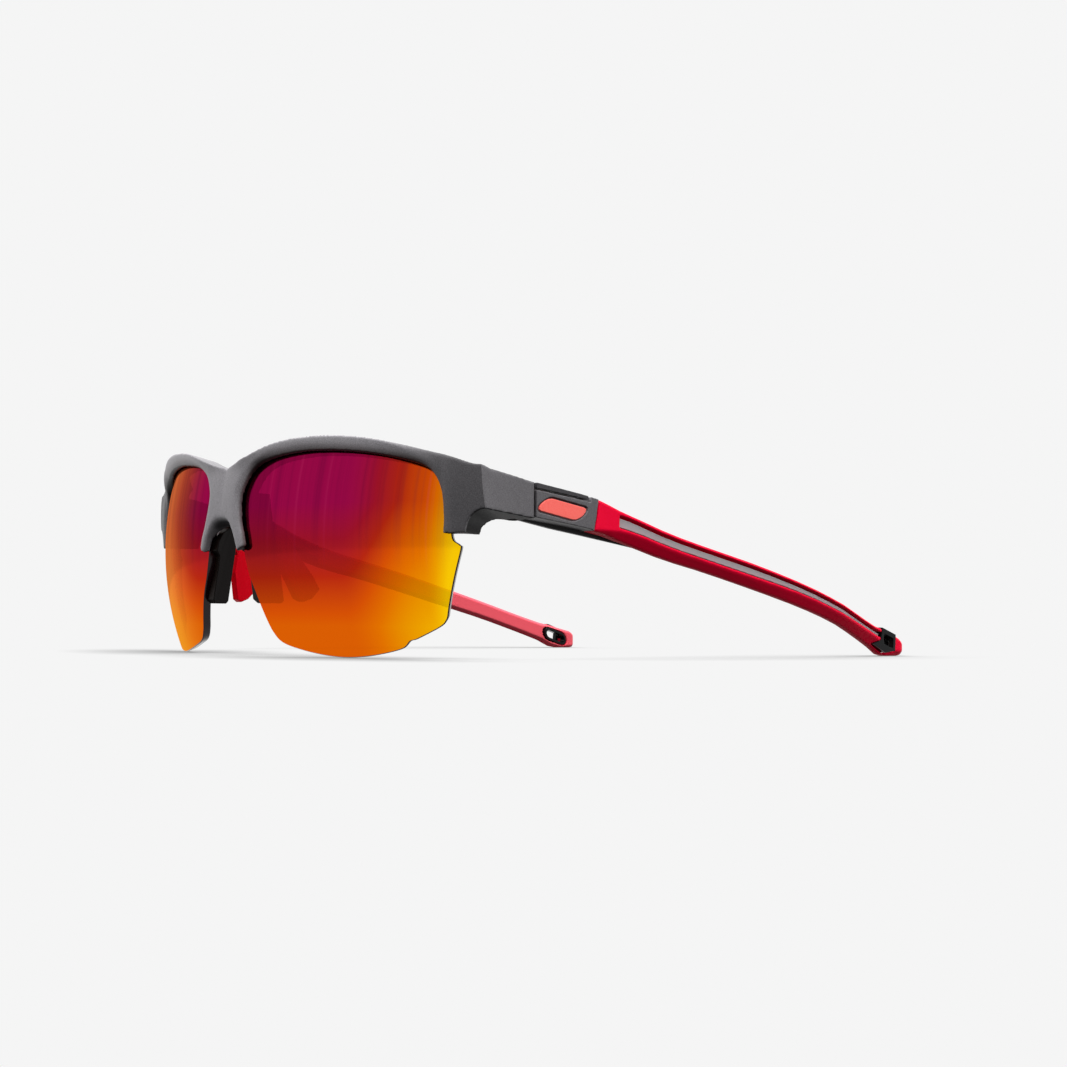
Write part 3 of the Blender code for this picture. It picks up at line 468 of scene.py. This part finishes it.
def lens_coating():
    """A mirror with no whitening at grazing angles, which lets a part of the light through, and painted
    reflections streaked across it high up.
    """
    n = Nodes("lens_coating")
    colour = mirror_colour(n)
    x, _, z = n.place()
    # Painted reflections: dark and light vertical streaks high on the lens, as a curtain-like surround would
    # mirror.
    across = n.add("CombineXYZ", {0: n.times(x, REFLECTION_STREAK_RATE)}).outputs[0]
    noise = {"Vector": across, "Scale": 1.0, "Detail": 3.0, "Roughness": 0.6}
    reflection_streaks = n.add("TexNoise", noise).outputs["Fac"]
    high = n.band(z, *REFLECTION_STREAK_HEIGHTS)
    dim = n.times(n.band(reflection_streaks, 0.55, 0.3, 0.0, 0.3), high)
    bright = n.times(n.band(reflection_streaks, 0.58, 0.72, 0.0, 0.22), high)
    colour = n.mix(dim, colour, srgb(50, 4, 44))
    colour = n.mix(bright, colour, srgb(214, 60, 120))
    ripple = n.bump(n.noise(14.0, 1.0), 0.002)
    mirror = n.add("BsdfAnisotropic", {"Color": colour, "Roughness": 0.09, "Normal": ripple}).outputs[0]
    through = n.add("BsdfTransparent", {"Color": colour}).outputs[0]
    square_on = n.math("SUBTRACT", 1.0, n.times(grazing_share(n), GRAZING_LOSS))
    share = n.times(LENS_SEE_THROUGH, square_on)
    return n.finish(n.one_sided(n.add("MixShader", {0: share, 1: mirror, 2: through}).outputs[0]))


def lens_inner():
    """The uncoated back of the lens: smoke brown, and clear to a ray that comes through the coating."""
    n = Nodes("lens_inner")
    colour = n.mix(n.noise(20.0, 2.0), srgb(70, 24, 12), srgb(92, 34, 16))
    gloss = n.principled(Base_Color=colour, Roughness=0.06)
    through = n.add("BsdfTransparent", {"Color": (*srgb(190, 110, 80), 1.0)}).outputs[0]
    return n.finish(n.one_sided(n.add("MixShader", {0: 0.45, 1: gloss, 2: through}).outputs[0]))


def lens_edge():
    """The ground edge: dark, and clear from inside the lens."""
    n = Nodes("lens_edge")
    grind = n.noise(0.5, 2.0)
    colour = n.mix(grind, srgb(24, 8, 14), srgb(38, 14, 18))
    bump = n.bump(grind, 0.004)
    return n.finish(n.one_sided(
        n.principled(Base_Color=colour, Roughness=0.2, Specular_IOR_Level=0.2, Normal=bump)
    ))


# Every material below is painted darker underneath and lighter on top by the way its faces look: painted
# shade and highlight. The greys are also painted darker on their flanks.
GREY = {
    "dark": srgb(98, 96, 99), "light": srgb(130, 127, 131), "roughness": 0.42, "grain": 0.2, "depth": 0.02,
}
# The front frame also carries a deep painted shade on faces that look back, painted shade growing towards its
# ends, and a painted highlight on the brow.
FRAME_GREY = grain_and_painted_light(
    "frame_grey_satin", **GREY, shine=0.4, under=0.08, low=-0.85, level=-0.3, top=1.35, flank=0.85, back=0.06,
    ends=0.26, brow=1.45,
)
CORE_GREY = grain_and_painted_light(
    "core_grey_satin", **GREY, shine=0.4, rear=srgb(206, 206, 210), under=0.2, top=1.3, flank=0.85,
)
TRIM_DARK = grain_and_painted_light("trim_dark_satin", srgb(58, 57, 60), srgb(78, 76, 80), 0.4, shine=0.3, under=0.4)
COVER_DARK = grain_and_painted_light("cover_dark_satin", srgb(20, 19, 21), srgb(32, 31, 34), 0.4, shine=0.2, under=0.4)
RUBBER = {"roughness": 0.5, "grain": 0.3, "depth": 0.006, "shine": 0.07}
# The red rubber, the pads and the coral badge give off a painted glow, and the rubber's painted shade fades
# to a dark red.
RUBBER_RED = grain_and_painted_light(
    "rubber_red_satin", srgb(246, 0, 50), srgb(255, 6, 62), **RUBBER, painted_glow=0.13, shade_colour=srgb(30, 0, 4),
    inner=srgb(255, 98, 112), under=0.35, low=-1.0,
)
PAD_RED = grain_and_painted_light("pad_red_satin", srgb(240, 0, 26), srgb(252, 2, 36), **RUBBER, painted_glow=0.3, under=0.5)
NOSE_BLACK = grain_and_painted_light("nose_black_satin", srgb(12, 7, 5), srgb(22, 13, 11), 0.42, shine=0.06)
TIP_BLACK = grain_and_painted_light("tip_black_gloss", srgb(8, 9, 11), srgb(16, 18, 20), 0.2, depth=0.004, under=0.5)
CORAL = grain_and_painted_light(
    "badge_coral_inlay", srgb(255, 106, 98), srgb(255, 122, 112), 0.45, depth=0.003, shine=0.1, painted_glow=0.3
)
STEEL = grain_and_painted_light("bright_steel", srgb(150, 150, 152), srgb(190, 190, 192), 0.28, metallic=1.0)
LENS_SURFACES = (lens_coating(), lens_inner(), lens_edge())


# ---------------------------------------------------------------- lenses


def on_sphere(x, y, z, share):
    """The point at (x, y, z) drawn in towards the eye's sphere centre to a share of its distance."""
    middle_x = min(x, SPHERE_X)
    return (
        middle_x + (x - middle_x) * share, SPHERE_Y + (y - SPHERE_Y) * share,
        SPHERE_Z + (z - SPHERE_Z) * share,
    )


def lens_point(x, z, radius, side):
    """The point of the sphere seen from the front at (x, z) on the outer skin, carried in to radius."""
    reach = max(x - SPHERE_X, 0.0)
    y = SPHERE_Y - math.sqrt(LENS_RADIUS**2 - reach**2 - (z - SPHERE_Z) ** 2)
    x, y, z = on_sphere(x, y, z, radius / LENS_RADIUS)
    return (side * x, y, z)


def lens_rows(rings, grow):
    """The lens's rings from the middle of the coating to the middle of the back: inset, share, radius."""
    outer, inner = LENS_RADIUS + grow, LENS_RADIUS - LENS_THICKNESS - grow
    chamfer = LENS_EDGE_CHAMFER
    shares = [(k / rings) ** 0.9 for k in range(1, rings)]
    rows = [(chamfer, share, outer) for share in shares]
    rows += [(chamfer, 1.0, outer), (0.0, 1.0, outer - chamfer)]
    rows += [(0.0, 1.0, inner + chamfer), (chamfer, 1.0, inner)]
    return rows + [(chamfer, share, inner) for share in reversed(shares)]


def lens_ring(bm, outline, row, grow, side):
    inset, share, radius = row
    ring = []
    for x, z in outline:
        dx, dz = x - LENS_MIDDLE[0], z - LENS_MIDDLE[1]
        part = share * (1 + (grow - inset) / math.hypot(dx, dz))
        place = (LENS_MIDDLE[0] + dx * part, LENS_MIDDLE[1] + dz * part)
        ring.append(bm.verts.new(lens_point(*place, radius, side)))
    return ring


def lens_body(name, grow=0.0):
    """The lens as rings from its middle to its edge: coating in front, clear face behind, ground edge."""
    side = SIDES[name]
    outline = spline(LENS_OUTLINE, LENS_STEPS)
    count = len(outline)
    middle_rings = CUTTER_RINGS if grow else LENS_RINGS
    rows = lens_rows(middle_rings, grow)
    bm = bmesh.new()
    rings = [lens_ring(bm, outline, row, grow, side) for row in rows]
    first = bm.verts.new(lens_point(*LENS_MIDDLE, rows[0][2], side))
    last = bm.verts.new(lens_point(*LENS_MIDDLE, rows[-1][2], side))
    for i in range(count):
        j = (i + 1) % count
        bm.faces.new((first, rings[0][i], rings[0][j])).material_index = 0
        for k, (low, high) in enumerate(zip(rings, rings[1:])):
            face = bm.faces.new((low[i], high[i], high[j], low[j]))
            face.material_index = 0 if k < middle_rings - 1 else 2 if k < middle_rings + 2 else 1
        bm.faces.new((last, rings[-1][j], rings[-1][i])).material_index = 1
    bmesh.ops.recalc_face_normals(bm, faces=bm.faces)
    return bm


def build_lens(name):
    obj = object_from(f"lens_shell_{name}", lens_body(name))
    indices = [p.material_index for p in obj.data.polygons]
    finish_piece(obj, LENS_SURFACES, "front", [f"lens_{name}"], "lens_mirror")
    obj.data.polygons.foreach_set("material_index", indices)
    obj.data.set_sharp_from_angle(angle=math.radians(LENS_SHARP_ANGLE))


# ---------------------------------------------------------------- the rest of the pieces


def ramp(value, low, high):
    return min(max((value - low) / (high - low), 0.0), 1.0)


def brow_lean(x, z, share):
    """How far the brow bar stands forward: more towards its outer edge, less at the bridge and the corner."""
    along = ramp(x, *BROW_LEAN_START) * (1.0 - ramp(x, *BROW_LEAN_END))
    return BROW_LEAN * ramp(z, *BROW_LEAN_HEIGHTS) * along * min(share + ramp(x, *BROW_LEAN_SIDE), 1.0)


def front_point(x, z, radius, lean=0.0):
    """The point of the front over (x, z): on the sphere up to FLARE_X, then straight out to the corner."""
    near_x = min(x, FLARE_X)
    reach = max(near_x - SPHERE_X, 0.0)
    y = SPHERE_Y - math.sqrt(FRONT_RADIUS**2 - reach**2 - (z - SPHERE_Z) ** 2)
    y += (FLARE_TOP_SLOPE + FLARE_TWIST * (FLARE_TOP_Z - z)) * max(x - FLARE_X, 0.0)
    y -= lean
    return on_sphere(x, y, z, radius / FRONT_RADIUS)


def fall(distance, width, depth):
    """How far a rounded edge has dropped at a distance from it."""
    return depth * max(1 - distance / width, 0.0) ** 2


def plate_rung(edge, rim, depth, outer_share):
    """One closed section of the front plate, from the lens opening out to the outer edge and back behind."""
    width = math.hypot(rim[0] - edge[0], rim[1] - edge[1])
    ring = []
    for step in range(PLATE_STEPS + 1):
        share = step / PLATE_STEPS
        x, z = (a + (b - a) * share for a, b in zip(edge, rim))
        drop = fall(share * width, *LENS_SIDE_FALL)
        drop += outer_share * fall((1 - share) * width, *OUTER_SIDE_FALL)
        ring.append(front_point(x, z, FRONT_RADIUS - drop, brow_lean(x, z, share)))
    ring.append(front_point(*rim, FRONT_RADIUS - depth))
    ring.append(front_point(*edge, FRONT_RADIUS - depth))
    return ring


def half_plate():
    """The wearer's left half of bridge, nose prong and brow bar, a little past the middle plane."""
    count = len(OPENING_EDGE)
    depths = PRONG_DEPTHS + (FRONT_DEPTH,) * (count - len(PRONG_DEPTHS))
    outer_shares = [0.0 if i in SQUARE_RUNGS else 1.0 for i in range(count)]
    rims = [(x if x > 0 else -MIDDLE_OVERLAP, z) for x, z in OUTER_EDGE]
    rungs_at = zip(OPENING_EDGE, rims, depths, outer_shares)
    rows = [(*edge, *rim, depth, share) for edge, rim, depth, share in rungs_at]
    bm = bmesh.new()
    rungs = []
    for edge_x, edge_z, rim_x, rim_z, depth, share in spline(rows, PLATE_RUNG_STEPS, closed=False):
        ring = plate_rung((edge_x, edge_z), (rim_x, rim_z), depth, min(max(share, 0.0), 1.0))
        rungs.append([bm.verts.new(point) for point in ring])
    skin(bm, rungs)
    return bm


def end_block():
    top = [(x, y, END_TOP_Z - END_TOP_SLOPE * (y - END_TOP_Y)) for x, y in END_PLAN]
    return loft([[(x, y, LUG_BOTTOM_Z - LUG_SPARE) for x, y in END_PLAN], top])


def end_side_cutter():
    """What lies outboard of the end block's flat side, which leans at the crease and is upright behind."""
    rings = []
    for z in SIDE_LEVELS:
        front_x = CREASE[0] + CREASE_LEAN * (FLARE_TOP_Z - z)
        middle = ((front_x + SIDE_REAR_X) / 2, (CREASE[1] + END_REAR_Y) / 2)
        plan = [(front_x, 5.0), (OUTSIDE, 5.0), (OUTSIDE, BEHIND), (SIDE_REAR_X, BEHIND)]
        plan += [(SIDE_REAR_X, END_REAR_Y - 0.2), middle]
        rings.append([(x, y, z) for x, y in [*plan, (front_x, CREASE[1])]])
    return loft(rings)


def end_underside_cutter():
    """The sweep under the end block: flat under the lug, a quarter arc, then nearly flat up to the hinge."""
    inboard = 50.0
    rings = []
    for run, height in ARCH_HEIGHTS:
        profile = [(inboard, LUG_BOTTOM_Z)]
        for along, up in arc((0.0, 0.0), 1.0, 20, math.pi, -math.pi / 2):
            profile.append((ARCH_START + (1 + along) * ARCH_WIDTH, LUG_BOTTOM_Z + up * height))
        profile += [(OUTSIDE, LUG_BOTTOM_Z + height), (OUTSIDE, BELOW), (inboard, BELOW)]
        rings.append([
            (across * ARCH_ACROSS[0] + run * ARCH_RUN[0], across * ARCH_ACROSS[1] + run * ARCH_RUN[1], z)
            for across, z in profile
        ])
    return loft(rings)


def arch_cutter():
    """What rounds the lower front edge of the bridge and of the prong's nose side."""
    front_y = SPHERE_Y - FRONT_RADIUS
    edges = spline([(x, z, radius) for (x, z), radius in zip(OUTER_EDGE, ARCH_ROUNDING)], 5, closed=False)
    edges.append((-2.0, *edges[-1][1:]))
    rings = []
    for x, z, radius in reversed(edges):
        rounding = arc((front_y + radius, z + radius), radius, 12, math.pi, math.pi / 2)
        ring = [(x, front_y - 2.0, z - 3.0), (x, front_y - 2.0, z + radius)]
        ring += [(x, y, up) for y, up in rounding]
        ring.append((x, front_y + radius, z - 3.0))
        rings.append(ring)
    return loft(rings)


def hinge_cutters():
    """The slot for the knuckle, the rounding of the ears, the screw bore and the seat of its head."""
    (x, y), (low, high) = PIVOT, KNUCKLE_SPAN
    reach = KNUCKLE_RADIUS + 0.5
    slot = [(50.0, y - reach), (x + reach, y - reach), (x + reach, BEHIND), (50.0, BEHIND)]
    ears = [(EAR_INNER_X, y), *arc(PIVOT, EAR_RADIUS, 16, math.pi, -math.pi / 2)]
    ears += [(x, EAR_REAR_Y), (EAR_INNER_X, EAR_REAR_Y)]
    bore, seat = (arc(PIVOT, r, 32, 0.1, math.tau)[:-1] for r in (HINGE_BORE_RADIUS, SCREW_HEAD_RADIUS + GAP))
    for plan, z_low, z_high in (
        (slot, low - GAP, high + GAP), (ears, BELOW, ABOVE),
        (bore, BELOW, ABOVE), (seat, SCREW_SEAT - 0.05, ABOVE),
    ):
        yield loft([[(px, py, z) for px, py in plan] for z in (z_low, z_high)])


def build_front():
    """Plate and end block are cut to shape, mirrored, and joined into one body by the even remesh."""
    plate = object_from("front_frame_shell", half_plate())
    block = object_from("end_block", end_block())
    for cutter in hinge_cutters():
        boolean(block, cutter)
    for obj in (plate, block):
        for cutter in (end_side_cutter(), end_underside_cutter(), lens_body("left", GAP)):
            boolean(obj, cutter)
    boolean(plate, arch_cutter())
    low_y, half = PEG_FRONT - GAP, PEG_HALF_WIDTH + GAP
    pocket = [(-2.0, low_y), (half, low_y), (half, 8.0), (-2.0, 8.0)]
    boolean(plate, loft([[(x, y, z) for x, y in pocket] for z in (PEG_SPAN[0] - GAP, PEG_SPAN[1] + GAP)]))
    bm = bmesh.new()
    for obj in (plate, block):
        bm.from_mesh(obj.data)
    other = bm.copy()
    bmesh.ops.scale(other, vec=(-1.0, 1.0, 1.0), verts=other.verts)
    bmesh.ops.reverse_faces(other, faces=other.faces)
    mirrored = bpy.data.meshes.new("mirrored")
    other.to_mesh(mirrored)
    bm.from_mesh(mirrored)
    other.free()
    bpy.data.objects.remove(block)
    bm.to_mesh(plate.data)
    bm.free()
    soften(plate, FRONT_VOXEL, FRONT_PASSES)
    finish_piece(plate, FRAME_GREY, "front", ["front_frame"], "frame_grey")


# For each softened copy on a temple: the CAD node, the piece, the remesh's voxel, the passes of smoothing,
# the material and its slot.
TEMPLE_PIECES = (
    ("temple_core", "temple_core_shell", 0.12, 3, CORE_GREY, "frame_grey"),
    ("temple_sleeve", "temple_sleeve_shell", 0.18, 5, RUBBER_RED, "rubber_red"),
    ("temple_top_strip", "top_strip_shell", 0.1, 3, TRIM_DARK, "trim_dark"),
    ("temple_badge", "badge_inlay", 0.07, 3, CORAL, "badge_coral"),
    ("hinge_cover", "hinge_cover_shell", 0.1, 4, COVER_DARK, "trim_dark"),
    ("tip_insert", "tip_insert_shell", 0.1, 3, TIP_BLACK, "tip_black"),
)


def build_nose():
    softened_node("nose_saddle", "nose_saddle_shell", 0.15, 5, NOSE_BLACK, "nose_black")
    for name in SIDES:
        softened_node(f"nose_pad_{name}", f"nose_pad_shell_{name}", 0.12, 8, PAD_RED, "rubber_red")


def build_temple(name):
    for node, piece, *rest in TEMPLE_PIECES:
        softened_node(f"{node}_{name}", f"{piece}_{name}", *rest)


def dress_steel():
    for name in SIDES:
        for node in (f"nose_stem_{name}", f"hinge_screw_{name}", f"core_wire_{name}"):
            obj = frame["nodes"][node]
            obj.data.materials.clear()
            obj.data.materials.append(STEEL)


# ---------------------------------------------------------------- stage, light and camera


def build_floor():
    """A pale floor that darkens only where something stands close over it, as a painted shadow."""
    bm = bmesh.new()
    bmesh.ops.create_circle(bm, cap_ends=True, segments=96, radius=FLOOR_RADIUS)
    floor = object_from("floor", bm, MM)
    n = Nodes("floor_pale")
    # Painted shadow: the floor gives off its own pale light, darkened by ambient occlusion under what stands
    # on it.
    near = n.add("AmbientOcclusion", {"Distance": FLOOR_REACH * MM}, samples=FLOOR_SAMPLES).outputs["AO"]
    shade = n.ramp(near, [(share, srgb(grey, grey, grey)) for share, grey in FLOOR_SHADOW_GREYS])
    shown = n.add("Emission", {"Color": shade}).outputs[0]
    bounce = n.add("Emission", {"Color": (FLOOR_DIFFUSE,) * 3 + (1.0,)}).outputs[0]
    mirrored = n.add("Emission", {"Color": (FLOOR_GLOSSY,) * 3 + (1.0,)}).outputs[0]
    path = n.add("LightPath").outputs
    other = n.add("MixShader", {0: path["Is Glossy Ray"], 1: bounce, 2: mirrored}).outputs[0]
    seen = n.add("MixShader", {0: path["Is Camera Ray"], 1: other, 2: shown}).outputs[0]
    floor.data.materials.append(n.finish(seen))


def sky_level(tree, low, high):
    """Light that rises from low at the horizon to high overhead."""
    split = tree.nodes.new("ShaderNodeSeparateXYZ")
    tree.links.new(tree.nodes.new("ShaderNodeTexCoord").outputs["Generated"], split.inputs[0])
    band = tree.nodes.new("ShaderNodeMapRange")
    band.interpolation_type = "SMOOTHSTEP"
    tree.links.new(split.outputs[2], band.inputs["Value"])
    for key, value in zip(("From Min", "From Max", "To Min", "To Max"), (*SKY_BAND, low, high)):
        band.inputs[key].default_value = value
    background = tree.nodes.new("ShaderNodeBackground")
    tree.links.new(band.outputs["Result"], background.inputs["Strength"])
    return background.outputs[0]


def build_world():
    """A light tent: brighter overhead, and plain pale to the camera."""
    world = bpy.data.worlds.new("studio")
    bpy.context.scene.world = world
    world.use_nodes = True
    tree = world.node_tree
    tree.nodes.clear()
    output = tree.nodes.new("ShaderNodeOutputWorld")
    path = tree.nodes.new("ShaderNodeLightPath")
    backdrop = tree.nodes.new("ShaderNodeBackground")
    backdrop.inputs[0].default_value = (*srgb(PALE_GREY, PALE_GREY, PALE_GREY), 1.0)
    first, second = (tree.nodes.new("ShaderNodeMixShader") for _ in range(2))
    for mixer, factor, low, high in (
        (first, "Is Glossy Ray", sky_level(tree, *SKY_DIFFUSE), sky_level(tree, *SKY_GLOSSY)),
        (second, "Is Camera Ray", first.outputs[0], backdrop.outputs[0]),
    ):
        tree.links.new(path.outputs[factor], mixer.inputs[0])
        tree.links.new(low, mixer.inputs[1])
        tree.links.new(high, mixer.inputs[2])
    tree.links.new(second.outputs[0], output.inputs[0])


def area_light(name, place, towards, size, power):
    """A soft box in millimetres that looks at a point and doesn't show in the mirrors."""
    data = bpy.data.lights.new(name, "AREA")
    data.shape = "RECTANGLE"
    data.size, data.size_y = (value * MM for value in size)
    data.energy = power
    obj = bpy.data.objects.new(name, data)
    start, end = (Vector((x, y + SHIFT_Y, z)) * MM for x, y, z in (place, towards))
    obj.location = start
    obj.rotation_euler = (end - start).to_track_quat("-Z", "Y").to_euler()
    obj.visible_glossy = False
    bpy.context.scene.collection.objects.link(obj)


def build_camera():
    azimuth, pitch, roll = (math.radians(v) for v in (CAMERA_AZIMUTH, CAMERA_PITCH, CAMERA_ROLL))
    level = math.cos(pitch)
    forward = Vector((-math.sin(azimuth) * level, math.cos(azimuth) * level, math.sin(pitch)))
    right = Vector((math.cos(azimuth), math.sin(azimuth), 0.0))
    up = right.cross(forward)
    tilted_right = math.cos(roll) * right + math.sin(roll) * up
    tilted_up = math.cos(roll) * up - math.sin(roll) * right
    data = bpy.data.cameras.new("camera")
    data.lens = CAMERA_LENS
    data.clip_start = 0.01
    obj = bpy.data.objects.new("camera", data)
    turn = Matrix((tilted_right, tilted_up, -forward)).transposed().to_4x4()
    place = Vector(CAMERA_PLACE) + Vector((0.0, SHIFT_Y, 0.0))
    obj.matrix_world = Matrix.Translation(place * MM) @ turn
    bpy.context.scene.collection.objects.link(obj)
    bpy.context.scene.camera = obj


def build_all():
    build_front()
    build_nose()
    for name in SIDES:
        build_lens(name)
        build_temple(name)
    dress_steel()
    build_floor()
    build_world()
    area_light("key", KEY_PLACE, KEY_AIM, KEY_SIZE, KEY_POWER)
    build_camera()
    bpy.context.scene.view_settings.view_transform = "Standard"


build_all()
